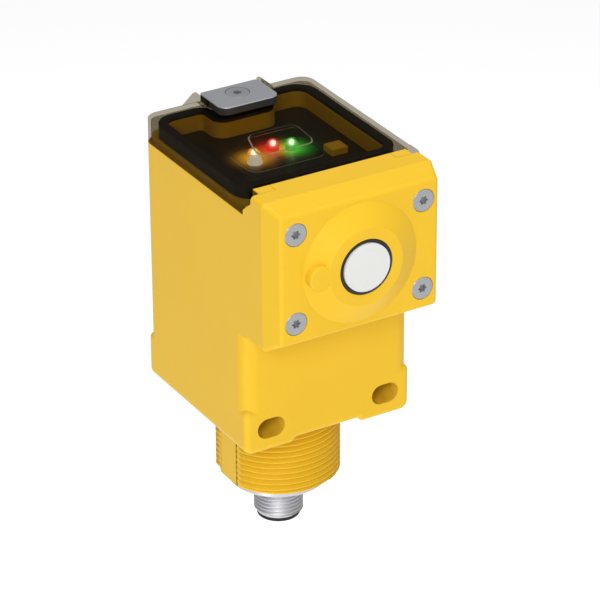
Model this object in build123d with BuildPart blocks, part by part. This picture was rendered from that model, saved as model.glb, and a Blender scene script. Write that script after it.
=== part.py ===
from build123d import *

import math
import os

# Ultrasonic distance sensor in a moulded case, with a hinged window over its indicators.
# Millimetres. The origin is on the axis of the threaded neck, level with the soles of the feet.
# +Z runs up to the window, the transducer faces -Y, and the neck and its connector point down.

# Case
case_width = 44.5
case_front = 23.65
case_back = 23.15
corner_radius = 3.6
shoulder_height = 62.6
rim_rise = 1.8
rim_inset = 0.85
lip_rise = 2.55
lip_thickness = 1.4
mouth_side_wall = 3.95
mouth_front_wall = 4.55
mouth_back_wall = 3.95
mouth_radius = 2.8
cavity_floor = 12.7
wiring_window_width = 17.0
wiring_window_height = 15.0
guide_rib_thickness = 0.8
guide_rib_depth = 1.6
post_size = 4.0

# Feet and their mounting slots
foot_height = 11.7
foot_corner_radius = 1.5
foot_inner_end = 9.4
foot_sole_radius = 2.3
foot_end_radius = 1.0
foot_top_radius = 1.3
belly_gap = 1.1
slot_inset = 6.8
slot_height = 6.05
slot_length = 7.2
slot_width = 5.1

# Threaded neck
neck_radius = 15.0
neck_length = 20.2
neck_flat_distance = 14.25
neck_chamfer = 0.6
neck_relief = 0.6
neck_bore_radius = 9.5

# Clamp boss, a dip of the seal line at the middle of the back
boss_half_width = 8.5
boss_depth = 7.0
boss_front_radius = 3.4
boss_root_radius = 1.0
clamp_screw_inset = 1.8
clamp_insert_radius = 2.1
clamp_insert_length = 5.6
clamp_insert_wall = 0.35

# Transducer head
axis_drop = 17.8
head_skirt = 19.3
head_taper_depth = 5.5
head_shoulder_reach = 8.15
head_side_slant = 1.75
head_top_slant = 1.9
head_bottom_slant = 3.3
head_edge_radius = 1.1
head_face_radius = 1.0
head_wall = 2.8
head_pocket_half_width = 12.2
head_pocket_half_height = 9.6
cone_base_radius = 14.85
cone_top_radius = 9.6
cone_rise = 2.7
head_screw_inset = 5.6
head_screw_half_rise = 11.1
head_screw_radius = 1.5
head_screw_head_radius = 2.85
head_screw_head_depth = 1.6
head_screw_recess = 1.1
head_insert_radius = 2.1
head_insert_length = 4.0
head_insert_wall = 0.5
head_seal_half_width = 14.2
head_seal_half_height = 11.6
head_seal_width = 1.4
head_seal_depth = 1.0
head_seal_radius = 2.4

# Transducer, and the temperature boss beside it with its inner cup
ring_radius = 6.85
ring_depth = 6.0
face_radius = 5.95
face_stand = 0.45
face_thickness = 2.0
can_length = 9.0
can_wall = 1.0
press_gap = 0.03
boss_offset = 11.6
boss_radius = 2.95
boss_edge_radius = 0.5
boss_skin = 1.2
cap_radius = 1.95
cap_skin = 0.4
cap_bore_radius = 1.5
thermistor_length = 7.0

# Window cover and its hinge
cover_side_gap = 0.05
cover_back_gap = 0.1
cover_overhang = 0.4
cover_rise = 1.75
cover_plate = 0.9
skirt_thickness = 0.7
skirt_lift = 0.1
front_lip_lift = 0.7
hinge_reach = 2.35
hinge_pin_radius = 0.55
hinge_arm_radius = 0.9
hinge_arm_width = 2.0
hinge_pin_length = 3.9
hinge_cap_overlap = 0.4
hinge_cap_reach = 1.0
hinge_cap_gap = 0.12
hinge_fit = 0.05
notch_clearance = 0.1
notch_reach = 1.2
notch_depth = 2.0
seam_drop = 0.5
rebate_gap = 0.25
skirt_gap = 0.15
rim_clearance = 0.15
pad_height = 0.8
pad_half_width = 6.4
pad_front_reach = 5.0
pad_back_reach = 3.6
screw_way_radius = 1.8
fin_inner = 8.15
fin_thickness = 0.8
fin_rise = 2.6
fin_front_reach = 1.1
fin_back_reach = 5.2
gusset_thickness = 0.8
gusset_reach = 3.0

# Seal under the cover
seal_inset = 0.25
seal_width = 2.3
seal_gap = 0.05

# Clamp plate and its captive screw
clamp_half_width = 7.85
clamp_front_reach = 6.7
clamp_back_reach = 4.3
clamp_thickness = 1.9
clamp_front_radius = 2.5
clamp_back_radius = 0.9
clamp_head_radius = 2.9
clamp_head_depth = 1.2
clamp_recess = 1.1
clamp_screw_radius = 1.5
clamp_thread_reach = 1.3
clamp_tip_radius = 0.9
clamp_tip_reach = 3.5
keeper_radius = 2.4
keeper_thickness = 0.5

# Control panel, lens and indicators
panel_drop = 1.3
panel_thickness = 1.5
panel_gap = 0.12
lens_left = -10.6
lens_right = 9.7
lens_front = -7.9
lens_back = 4.7
lens_top_left = -5.6
lens_top_right = 7.2
lens_top_front = -3.2
lens_top_back = 3.5
lens_height = 4.1
lens_slope_drop = 1.5
lens_slope_run = 8.3
lens_wall = 0.5
lens_base_radius = 3.0
lens_top_radius = 1.8
led_radius = 1.5
led_flange_radius = 1.85
led_flange_height = 0.5
led_height = 2.6
led_gap = 0.1
led_lead_radius = 0.25
led_lead_half_pitch = 1.27
led_places = {"led_amber": (-6.1, -0.6), "led_red": (0.2, 1.5), "led_green": (4.1, -0.3)}
lamp_place = (-6.9, -3.9)
lamp_base_radius = 1.65
lamp_top_radius = 1.2
lamp_height = 1.3

# Push button and its switch
button_x = 12.0
button_y = -7.0
button_width = 4.2
button_depth = 4.0
button_rise = 1.6
button_travel = 0.5
button_gap = 0.1
button_flange = 0.6
button_flange_thickness = 0.7
switch_side = 6.0
switch_height = 1.6
plunger_radius = 1.0
plunger_bore_depth = 1.4

# Circuit boards and their pieces
board_thickness = 1.6
board_drop = 4.8
board_gap = 0.3
main_board_y = 7.0
main_board_drop = 1.5
header_length = 20.0
header_depth = 2.5
header_overlap = 4.5
wire_header_half_width = 4.6
wire_header_front = -4.2
wire_header_height = 5.0
wire_header_lift = 2.0
chip_side = 10.0
chip_thickness = 1.4
chip_lift = 26.0
transformer_side = 8.0
transformer_depth = 7.0
transformer_lift = 16.0
part_spacing = 9.5
capacitor_radius = 3.0
capacitor_length = 8.0
capacitor_lifts = {"capacitor_upper": 32.0, "capacitor_lower": 16.0}
lead_radius = 0.6
lead_half_spacing = 2.2

# Connector
flange_radius = 12.3
flange_thickness = 2.5
flange_plug_radius = 9.4
flange_plug_length = 6.0
flange_seal_section = 0.45
flange_groove_depth = 0.9
flange_groove_width = 1.2
shell_radius = 6.0
shell_stem_radius = 5.8
shell_relief_radius = 5.7
shell_relief = 0.5
shell_length = 9.8
shell_chamfer = 0.6
shell_bore_radius = 5.0
fit_gap = 0.05
shell_collar_radius = 7.4
shell_collar_thickness = 1.5
insert_rim_radius = 5.25
insert_rim_height = 1.0
socket_radius = 4.3
socket_depth = 8.6
key_width = 1.0
key_depth = 0.6
pin_radius = 0.5
pin_circle_radius = 2.75
pin_recess = 1.2
pin_tail = 3.0
wire_radius = 0.75
wire_names = ("brown", "white", "blue", "black", "grey")

# Heights worked out from the sizes above
rim_height = shoulder_height + rim_rise
lip_height = rim_height + lip_rise
cover_top = lip_height + cover_rise
head_top = cover_top
axis_height = head_top - axis_drop
head_bottom = axis_height - head_skirt
head_face_top = head_top - head_top_slant
head_face_bottom = head_bottom + head_bottom_slant
seam_step = rim_height - seam_drop
notch_shelf = head_top - notch_depth
skirt_bottom = shoulder_height + skirt_lift
front_lip_bottom = rim_height + front_lip_lift
hinge_height = cover_top - hinge_arm_radius
plate_bottom = cover_top - cover_plate
seal_top = plate_bottom - seal_gap
pad_top = cover_top + pad_height
fin_top = cover_top + fin_rise
clamp_top = pad_top + clamp_thickness
clamp_thread_end = rim_height - clamp_thread_reach
clamp_tip_end = rim_height - clamp_tip_reach
panel_top = rim_height - panel_drop
panel_bottom = panel_top - panel_thickness
button_top = panel_top + button_rise
board_top = panel_top - board_drop
board_bottom = board_top - board_thickness
main_board_top = board_bottom - main_board_drop
header_bottom = main_board_top - header_overlap
wire_header_bottom = cavity_floor + wire_header_lift

# Widths worked out from the sizes above
case_half_width = case_width / 2
rim_half_width = case_half_width - rim_inset
mouth_half_width = case_half_width - mouth_side_wall
slot_half_spacing = case_half_width - slot_inset
head_face_half_width = case_half_width - head_side_slant
head_screw_half_span = case_half_width - head_screw_inset
cover_half_width = case_half_width - cover_side_gap
hinge_arm_inner = cover_half_width - hinge_arm_width
hinge_pin_inner = hinge_arm_inner - hinge_pin_length
hinge_cap_inner = hinge_pin_inner - hinge_cap_overlap

# Depths worked out from the sizes above
case_depth = case_front + case_back
case_middle_y = (case_back - case_front) / 2
rim_back = case_back - rim_inset
mouth_front = case_front - mouth_front_wall
mouth_back = case_back - mouth_back_wall
boss_front = mouth_back - boss_depth
clamp_screw_y = mouth_back - clamp_screw_inset
cover_back = case_back - cover_back_gap
cover_front = case_front + cover_overhang
head_shoulder_y = case_front + head_shoulder_reach
head_face_y = head_shoulder_y + head_taper_depth
cone_face_y = head_face_y + cone_rise
disc_face_y = cone_face_y + face_stand
hinge_y = case_front + hinge_reach
hinge_cap_front = hinge_y + hinge_cap_reach
notch_wall = hinge_y + notch_reach

# Ends of the neck and the connector
neck_end = -neck_length
flange_end = neck_end - flange_thickness
shell_end = flange_end - shell_length
insert_end = shell_end - insert_rim_height
socket_floor = insert_end + socket_depth
plug_top = neck_end + flange_plug_length
pin_back = plug_top + pin_tail

os.makedirs("parts", exist_ok=True)


def save(builder, name):
    """Labels a finished piece and writes it."""
    builder.part.label = name
    export_step(builder.part, f"parts/{name}.step")


def seal_outline(grow):
    """The mouth of the case moved outward by grow: a rectangle that dips in round the clamp boss."""
    side = mouth_half_width + grow
    front = -mouth_front - grow
    back = mouth_back + grow
    dip_side = boss_half_width - grow
    dip_front = boss_front + grow
    corners = [
        (-side, front),
        (side, front),
        (side, back),
        (dip_side, back),
        (dip_side, dip_front),
        (-dip_side, dip_front),
        (-dip_side, back),
        (-side, back),
    ]
    outer = mouth_radius + grow
    root = boss_root_radius + grow
    dip = boss_front_radius - grow
    with BuildLine() as outline:
        FilletPolyline(corners, radius=[outer, outer, outer, root, dip, dip, root, outer], close=True)
    return outline.line


def seal_face(grow, height):
    """The face inside the seal outline, at a height."""
    with BuildSketch(Plane.XY.offset(height)) as face:
        with BuildLine():
            add(seal_outline(grow))
        make_face()
    return face.sketch


def box_between(low, high, mode=Mode.ADD):
    """A box from its lowest to its highest corner, for the builder that calls it."""
    size = [b - a for a, b in zip(low, high)]
    middle = [(a + b) / 2 for a, b in zip(low, high)]
    with Locations(tuple(middle)):
        Box(*size, mode=mode)


def front_plane(y):
    """An upright sketch plane that faces -Y at y: its X is the case's X and its Y is the case's Z."""
    return Plane(origin=(0, y, 0), x_dir=(1, 0, 0), z_dir=(0, -1, 0))


def screw_places():
    """The four head screws, as name and place on the front."""
    for side, x in (("left", -head_screw_half_span), ("right", head_screw_half_span)):
        for level, z in (("upper", head_screw_half_rise), ("lower", -head_screw_half_rise)):
            yield f"{level}_{side}", x, axis_height + z


def drive_recess(radius):
    """The outline of a six-lobed driver recess, for the sketch that calls it."""
    Circle(radius * 0.72)
    with PolarLocations(radius * 0.72, 6):
        Circle(radius * 0.28)


# Case: feet, body, rim, seal lip, cavity, slots and threaded neck
with BuildPart() as housing:
    with BuildSketch(front_plane(case_back)) as foot_section:
        with BuildLine():
            sole = foot_sole_radius
            end = foot_end_radius
            FilletPolyline(
                (-case_half_width, foot_height),
                (-case_half_width, 0),
                (-foot_inner_end, 0),
                (-foot_inner_end + belly_gap, belly_gap),
                (foot_inner_end - belly_gap, belly_gap),
                (foot_inner_end, 0),
                (case_half_width, 0),
                (case_half_width, foot_height),
                radius=[0, sole, end, end, end, end, sole, 0],
                close=True,
            )
        make_face()
    extrude(amount=case_depth)
    upright = housing.edges().filter_by(Axis.Z)
    fillet(upright, foot_corner_radius)
    crown = housing.faces().sort_by(Axis.Z)[-1]
    fillet(crown.edges(), foot_top_radius)

    with BuildSketch(Plane.XY.offset(foot_sole_radius + 1)) as body_outline:
        with Locations((0, case_middle_y)):
            RectangleRounded(case_width, case_depth, corner_radius)
    extrude(amount=head_bottom - foot_sole_radius - 1)

    with BuildSketch(Plane.XY.offset(head_bottom)) as upper_outline:
        with Locations((0, case_middle_y)):
            Rectangle(case_width, case_depth)
        fillet(upper_outline.vertices().group_by(Axis.Y)[-1], corner_radius)
    extrude(amount=shoulder_height - head_bottom)

    with BuildSketch(Plane.XY.offset(shoulder_height)) as rim_outline:
        with Locations((0, (rim_back - case_front) / 2)):
            Rectangle(2 * rim_half_width, rim_back + case_front)
        fillet(rim_outline.vertices().group_by(Axis.Y)[-1], corner_radius - rim_inset)
    extrude(amount=rim_height - shoulder_height)

    add(extrude(seal_face(lip_thickness, rim_height), lip_height - rim_height, mode=Mode.PRIVATE))
    add(
        extrude(seal_face(0, cavity_floor), lip_height - cavity_floor + 1, mode=Mode.PRIVATE),
        mode=Mode.SUBTRACT,
    )

    # Neck with two flats, and its bore for the wires
    with BuildSketch(Plane.XY.offset(neck_end)):
        Circle(neck_radius)
        with Locations((neck_flat_distance + neck_radius, 0), (-neck_flat_distance - neck_radius, 0)):
            Rectangle(2 * neck_radius, 4 * neck_radius, mode=Mode.SUBTRACT)
    extrude(amount=neck_length)
    chamfer(housing.faces().sort_by(Axis.Z)[0].outer_wire().edges(), neck_chamfer)
    with BuildSketch():
        Circle(neck_radius - neck_relief)
        with Locations((neck_flat_distance - neck_relief + neck_radius, 0)):
            Rectangle(2 * neck_radius, 4 * neck_radius, mode=Mode.SUBTRACT)
        with Locations((-neck_flat_distance + neck_relief - neck_radius, 0)):
            Rectangle(2 * neck_radius, 4 * neck_radius, mode=Mode.SUBTRACT)
    extrude(amount=belly_gap)
    with BuildSketch(Plane.XY.offset(neck_end)):
        Circle(neck_bore_radius)
    extrude(amount=neck_length + cavity_floor, mode=Mode.SUBTRACT)

    # Posts in the corners carry the panel, ribs at the sides carry the indicator board
    post_x = mouth_half_width - post_size / 2
    with BuildSketch(Plane.XY.offset(cavity_floor)):
        with Locations(
            (post_x, mouth_back - post_size / 2),
            (-post_x, mouth_back - post_size / 2),
            (post_x, -mouth_front + post_size / 2),
            (-post_x, -mouth_front + post_size / 2),
        ):
            Rectangle(post_size, post_size)
    extrude(amount=panel_bottom - cavity_floor)
    rib_x = mouth_half_width - guide_rib_depth / 2
    rib_front = main_board_y - board_gap / 2 - guide_rib_thickness / 2
    rib_back = main_board_y + board_thickness + board_gap / 2 + guide_rib_thickness / 2
    with BuildSketch(Plane.XY.offset(cavity_floor)):
        with Locations((rib_x, rib_front), (-rib_x, rib_front), (rib_x, rib_back), (-rib_x, rib_back)):
            Rectangle(guide_rib_depth, guide_rib_thickness)
    extrude(amount=board_bottom - cavity_floor)

    # Window for the transducer leads, and the seats of the threaded inserts
    with BuildSketch(front_plane(-case_front)):
        with Locations((0, axis_height)):
            RectangleRounded(wiring_window_width, wiring_window_height, 2)
    extrude(amount=-(case_front - mouth_front + 1), mode=Mode.SUBTRACT)
    with BuildSketch(front_plane(-case_front)):
        for _, x, z in screw_places():
            with Locations((x, z)):
                Circle(head_insert_radius)
    extrude(amount=-head_insert_length, mode=Mode.SUBTRACT)
    with BuildSketch(Plane.XY.offset(rim_height)):
        with Locations((0, clamp_screw_y)):
            Circle(clamp_insert_radius)
    extrude(amount=-clamp_insert_length, mode=Mode.SUBTRACT)

    # Slots run right through from front to back
    with BuildSketch(front_plane(-case_front)):
        with Locations((slot_half_spacing, slot_height), (-slot_half_spacing, slot_height)):
            SlotOverall(slot_length, slot_width)
    extrude(amount=-case_depth, mode=Mode.SUBTRACT)
save(housing, "housing")

# Head: a tapered block with a raised cone for the transducer
with BuildPart() as transducer_head:
    with BuildSketch(front_plane(-case_front)):
        with Locations((0, (head_top + head_bottom) / 2)):
            RectangleRounded(case_width, head_top - head_bottom, head_edge_radius)
    extrude(amount=head_shoulder_y - case_front)
    with BuildSketch(front_plane(-head_shoulder_y)):
        with Locations((0, (head_top + head_bottom) / 2)):
            RectangleRounded(case_width, head_top - head_bottom, head_edge_radius)
    with BuildSketch(front_plane(-head_face_y)):
        with Locations((0, (head_face_top + head_face_bottom) / 2)):
            face_height = head_face_top - head_face_bottom
            RectangleRounded(2 * head_face_half_width, face_height, head_edge_radius)
    loft()
    fillet(transducer_head.faces().sort_by(Axis.Y)[0].edges(), head_face_radius)

    # Raised cone, bored for the transducer
    with BuildSketch(Plane.YZ) as cone_profile:
        with BuildLine():
            Polyline(
                (-head_face_y + 1, axis_height),
                (-head_face_y + 1, axis_height + cone_base_radius),
                (-head_face_y, axis_height + cone_base_radius),
                (-cone_face_y, axis_height + cone_top_radius),
                (-cone_face_y, axis_height),
                close=True,
            )
        make_face()
    revolve(axis=Axis((0, 0, axis_height), (0, 1, 0)))

    # Round temperature boss beside the transducer, level with the top of the cone
    with BuildSketch(Plane.YZ.offset(-boss_offset)) as boss_profile:
        with BuildLine():
            FilletPolyline(
                (-head_face_y + 1, axis_height),
                (-head_face_y + 1, axis_height + boss_radius),
                (-cone_face_y, axis_height + boss_radius),
                (-cone_face_y, axis_height),
                radius=[0, 0, boss_edge_radius, 0],
                close=True,
            )
        make_face()
    revolve(axis=Axis((-boss_offset, 0, axis_height), (0, 1, 0)))
    with BuildSketch(front_plane(-cone_face_y)):
        with Locations((0, axis_height)):
            Circle(ring_radius)
    extrude(amount=-(cone_face_y - case_front), mode=Mode.SUBTRACT)

    # Pocket behind the face, and the groove of the head seal round it
    head_pocket_depth = head_face_y - case_front - 2 * head_wall
    with BuildSketch(front_plane(-case_front)):
        with Locations((0, axis_height)):
            RectangleRounded(2 * head_pocket_half_width, 2 * head_pocket_half_height, 2)
    extrude(amount=head_pocket_depth, mode=Mode.SUBTRACT)
    with BuildSketch(front_plane(-case_front)):
        with Locations((0, axis_height)):
            RectangleRounded(2 * head_seal_half_width, 2 * head_seal_half_height, head_seal_radius)
            RectangleRounded(
                2 * (head_seal_half_width - head_seal_width),
                2 * (head_seal_half_height - head_seal_width),
                head_seal_radius - head_seal_width,
                mode=Mode.SUBTRACT,
            )
    extrude(amount=head_seal_depth, mode=Mode.SUBTRACT)

    # Screw holes, countersunk flat at the face
    with BuildSketch(front_plane(-case_front)):
        for _, x, z in screw_places():
            with Locations((x, z)):
                Circle(head_screw_radius + 0.1)
    extrude(amount=head_face_y - case_front, mode=Mode.SUBTRACT)
    with BuildSketch(front_plane(-head_face_y)):
        for _, x, z in screw_places():
            with Locations((x, z)):
                Circle(head_screw_head_radius)
    extrude(amount=-head_screw_head_depth, mode=Mode.SUBTRACT)

    # Rebate for the cover's front edge, notches for its hinge arms, pockets for its hinge pins
    box_between(
        (-case_half_width, -cover_front - rebate_gap, front_lip_bottom - rebate_gap),
        (case_half_width, -case_front, head_top),
        Mode.SUBTRACT,
    )
    for side in (-1, 1):
        with BuildSketch(Plane.YZ.offset(side * (hinge_arm_inner - notch_clearance))):
            with BuildLine():
                Polyline(
                    (-case_front, seam_step),
                    (-notch_wall + notch_clearance, notch_shelf),
                    (-notch_wall, head_top),
                    (-case_front, head_top),
                    close=True,
                )
            make_face()
        extrude(amount=side * case_half_width, mode=Mode.SUBTRACT)
        box_between(
            (
                min(side * (hinge_cap_inner - hinge_cap_gap), side * hinge_arm_inner),
                -hinge_cap_front - hinge_cap_gap,
                hinge_height - hinge_pin_radius - hinge_fit,
            ),
            (max(side * (hinge_cap_inner - hinge_cap_gap), side * hinge_arm_inner), -case_front, head_top),
            Mode.SUBTRACT,
        )

    # Blind bore behind the temperature boss, for the cup with the thermistor
    with BuildSketch(front_plane(-cone_face_y + boss_skin)):
        with Locations((-boss_offset, axis_height)):
            Circle(cap_radius)
    extrude(amount=-(cone_face_y - case_front), mode=Mode.SUBTRACT)
save(transducer_head, "transducer_head")

# Seal in the groove at the back of the head
with BuildPart() as head_gasket:
    with BuildSketch(front_plane(-case_front)):
        with Locations((0, axis_height)):
            RectangleRounded(
                2 * (head_seal_half_width - fit_gap),
                2 * (head_seal_half_height - fit_gap),
                head_seal_radius - fit_gap,
            )
            RectangleRounded(
                2 * (head_seal_half_width - head_seal_width + fit_gap),
                2 * (head_seal_half_height - head_seal_width + fit_gap),
                head_seal_radius - head_seal_width + fit_gap,
                mode=Mode.SUBTRACT,
            )
    extrude(amount=head_seal_depth - fit_gap)
save(head_gasket, "head_gasket")

# Head screws and the threaded inserts that they turn into
for place, x, z in screw_places():
    with BuildPart() as head_screw:
        with BuildSketch(front_plane(-head_face_y)):
            with Locations((x, z)):
                Circle(head_screw_head_radius - fit_gap)
        extrude(amount=-head_screw_head_depth)
        chamfer(head_screw.faces().sort_by(Axis.Y)[0].edges(), 0.15)
        with BuildSketch(front_plane(-head_face_y + head_screw_head_depth)):
            with Locations((x, z)):
                Circle(head_screw_radius)
        extrude(amount=-(head_face_y - head_screw_head_depth - case_front + head_insert_length - 0.2))
        with BuildSketch(front_plane(-head_face_y)):
            with Locations((x, z)):
                drive_recess(head_screw_recess)
        extrude(amount=-head_screw_head_depth * 0.7, mode=Mode.SUBTRACT)
    save(head_screw, f"head_screw_{place}")

    with BuildPart() as head_insert:
        with BuildSketch(front_plane(-case_front)):
            with Locations((x, z)):
                Circle(head_insert_radius - press_gap)
                Circle(head_insert_radius - head_insert_wall, mode=Mode.SUBTRACT)
        extrude(amount=-head_insert_length + fit_gap)
    save(head_insert, f"head_insert_{place}")

# Transducer: isolating ring, face disc and the can behind it
with BuildPart() as transducer_ring:
    with BuildSketch(front_plane(-cone_face_y)):
        with Locations((0, axis_height)):
            Circle(ring_radius - fit_gap)
            Circle(face_radius, mode=Mode.SUBTRACT)
    extrude(amount=-ring_depth)
    fillet(transducer_ring.faces().sort_by(Axis.Y)[0].edges(), 0.2)
save(transducer_ring, "transducer_ring")

with BuildPart() as transducer_face:
    with BuildSketch(front_plane(-disc_face_y)):
        with Locations((0, axis_height)):
            Circle(face_radius - fit_gap)
    extrude(amount=-face_thickness)
save(transducer_face, "transducer_face")

with BuildPart() as transducer_can:
    with BuildSketch(front_plane(-disc_face_y + face_thickness)):
        with Locations((0, axis_height)):
            Circle(face_radius - fit_gap)
    extrude(amount=-can_length)
    with BuildSketch(front_plane(-disc_face_y + face_thickness)):
        with Locations((0, axis_height)):
            Circle(face_radius - fit_gap - can_wall)
    extrude(amount=-(can_length - can_wall), mode=Mode.SUBTRACT)
save(transducer_can, "transducer_can")

for side, x in (("left", -lead_half_spacing), ("right", lead_half_spacing)):
    with BuildPart() as transducer_lead:
        can_back = -disc_face_y + face_thickness + can_length
        with BuildSketch(front_plane(can_back)):
            with Locations((x, axis_height)):
                Circle(lead_radius)
        extrude(amount=-(main_board_y - can_back))
    save(transducer_lead, f"transducer_lead_{side}")

# Cup behind the temperature boss, and the thermistor in it
cup_front = -cone_face_y + boss_skin
cup_length = cone_face_y - boss_skin - case_front - head_pocket_depth
with BuildPart() as temperature_cap:
    with BuildSketch(front_plane(cup_front)):
        with Locations((-boss_offset, axis_height)):
            Circle(cap_radius - press_gap)
    extrude(amount=-cup_length)
    with BuildSketch(front_plane(cup_front + cap_skin)):
        with Locations((-boss_offset, axis_height)):
            Circle(cap_bore_radius)
    extrude(amount=-cup_length, mode=Mode.SUBTRACT)
save(temperature_cap, "temperature_cap")

with BuildPart() as thermistor:
    with BuildSketch(front_plane(cup_front + cap_skin)):
        with Locations((-boss_offset, axis_height)):
            Circle(cap_bore_radius - fit_gap)
    extrude(amount=-thermistor_length)
    fillet(thermistor.faces().sort_by(Axis.Y)[0].edges(), 0.6)
save(thermistor, "thermistor")

# Window cover: plate, skirt, front lip, hinge arms with pins, pad and fins at the clamp
with BuildPart() as clear_cover:
    cover_corner = corner_radius - (case_half_width - cover_half_width) - fit_gap
    skirt_front = -case_front + skirt_gap
    with BuildSketch(Plane.XY.offset(plate_bottom)) as cover_outline:
        with Locations((0, (cover_back - cover_front) / 2)):
            Rectangle(2 * cover_half_width, cover_back + cover_front)
        fillet(cover_outline.vertices().group_by(Axis.Y)[-1], cover_corner)
    extrude(amount=cover_plate)
    with BuildSketch(Plane.XY.offset(skirt_bottom)) as skirt_outline:
        with Locations((0, (cover_back + skirt_front) / 2)):
            Rectangle(2 * cover_half_width, cover_back - skirt_front)
        fillet(skirt_outline.vertices().group_by(Axis.Y)[-1], cover_corner)
    extrude(amount=plate_bottom - skirt_bottom)
    inner_half = cover_half_width - skirt_thickness
    inner_back = cover_back - skirt_thickness
    with BuildSketch(Plane.XY.offset(skirt_bottom)) as skirt_inside:
        with Locations((0, (inner_back - case_front) / 2)):
            Rectangle(2 * inner_half, inner_back + case_front)
        fillet(skirt_inside.vertices().group_by(Axis.Y)[-1], cover_corner - skirt_thickness)
    extrude(amount=plate_bottom - skirt_bottom, mode=Mode.SUBTRACT)
    lip_half = hinge_arm_inner - notch_clearance
    box_between(
        (-lip_half, -cover_front, front_lip_bottom),
        (lip_half, -cover_front + cover_plate, plate_bottom),
    )
    top_edges = clear_cover.faces().sort_by(Axis.Z)[-1].edges()
    fillet(top_edges.sort_by(Axis.Y)[1:], 0.3)

    for side in (-1, 1):
        with BuildSketch(Plane.YZ.offset(side * hinge_arm_inner)):
            with BuildLine():
                Polyline(
                    (skirt_front + skirt_thickness, cover_top),
                    (-hinge_y, cover_top),
                    (-hinge_y, hinge_height - hinge_arm_radius),
                    (skirt_front, rim_height + rim_clearance),
                    (skirt_front + skirt_thickness, rim_height + rim_clearance),
                    close=True,
                )
            make_face()
            with Locations((-hinge_y, hinge_height)):
                Circle(hinge_arm_radius)
        extrude(amount=side * (cover_half_width - hinge_arm_inner))
        with BuildSketch(Plane.YZ.offset(side * hinge_pin_inner)):
            with Locations((-hinge_y, hinge_height)):
                Circle(hinge_pin_radius)
        extrude(amount=side * (hinge_arm_inner - hinge_pin_inner + 0.5))

        low = min(side * fin_inner, side * (fin_inner + fin_thickness))
        high = max(side * fin_inner, side * (fin_inner + fin_thickness))
        fin_front = clamp_screw_y - fin_front_reach
        fin_back = clamp_screw_y + fin_back_reach
        box_between((low, fin_front, cover_top - 0.2), (high, fin_back, fin_top))
        with BuildSketch(front_plane(fin_back)):
            with BuildLine():
                Polyline(
                    (side * (fin_inner + fin_thickness / 2), cover_top - 0.2),
                    (side * (fin_inner + fin_thickness / 2), fin_top),
                    (side * (fin_inner + fin_thickness), fin_top),
                    (side * (fin_inner + fin_thickness + gusset_reach), cover_top),
                    (side * (fin_inner + fin_thickness + gusset_reach), cover_top - 0.2),
                    close=True,
                )
            make_face()
        extrude(amount=gusset_thickness)

    box_between(
        (-pad_half_width, clamp_screw_y - pad_front_reach, cover_top - 0.1),
        (pad_half_width, clamp_screw_y + pad_back_reach, pad_top),
    )
    with BuildSketch(Plane.XY.offset(pad_top)):
        with Locations((0, clamp_screw_y)):
            Circle(screw_way_radius)
    extrude(amount=-(pad_height + cover_plate), mode=Mode.SUBTRACT)
save(clear_cover, "clear_cover")

# Caps that close the hinge pockets over the pins
for name, side in (("hinge_cap_left", -1), ("hinge_cap_right", 1)):
    with BuildPart() as hinge_cap:
        ends = (side * hinge_cap_inner, side * (hinge_arm_inner - notch_clearance - hinge_cap_gap))
        box_between(
            (min(ends), -hinge_cap_front, hinge_height - hinge_pin_radius),
            (max(ends), -cover_front - rebate_gap, head_top),
        )
        with BuildSketch(Plane.YZ.offset(min(ends))):
            with Locations((-hinge_y, hinge_height)):
                Circle(hinge_pin_radius + hinge_fit)
            with Locations((-hinge_y, hinge_height - hinge_pin_radius)):
                Rectangle(2 * (hinge_pin_radius + hinge_fit), 2 * hinge_pin_radius)
        extrude(amount=max(ends) - min(ends), mode=Mode.SUBTRACT)
    save(hinge_cap, name)

# Seal that caps the lip of the case
with BuildPart() as cover_gasket:
    add(extrude(seal_face(seal_inset + seal_width, rim_height), seal_top - rim_height, mode=Mode.PRIVATE))
    add(
        extrude(seal_face(lip_thickness, rim_height), lip_height - rim_height, mode=Mode.PRIVATE),
        mode=Mode.SUBTRACT,
    )
    add(
        extrude(seal_face(seal_inset, rim_height), seal_top - rim_height, mode=Mode.PRIVATE),
        mode=Mode.SUBTRACT,
    )
save(cover_gasket, "cover_gasket")

# Clamp plate, its captive screw, the keeper ring and the threaded insert
with BuildPart() as clamp_plate:
    with BuildSketch(Plane.XY.offset(pad_top)) as clamp_outline:
        with Locations((0, clamp_screw_y + (clamp_back_reach - clamp_front_reach) / 2)):
            Rectangle(2 * clamp_half_width, clamp_front_reach + clamp_back_reach)
        fillet(clamp_outline.vertices().group_by(Axis.Y)[0], clamp_front_radius)
        fillet(clamp_outline.vertices().group_by(Axis.Y)[-1], clamp_back_radius)
    extrude(amount=clamp_thickness)
    fillet(clamp_plate.faces().sort_by(Axis.Z)[-1].edges(), 0.25)
    with Locations((0, clamp_screw_y, clamp_top)):
        CounterBoreHole(screw_way_radius, clamp_head_radius + fit_gap, clamp_head_depth)
save(clamp_plate, "clamp_plate")

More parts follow.
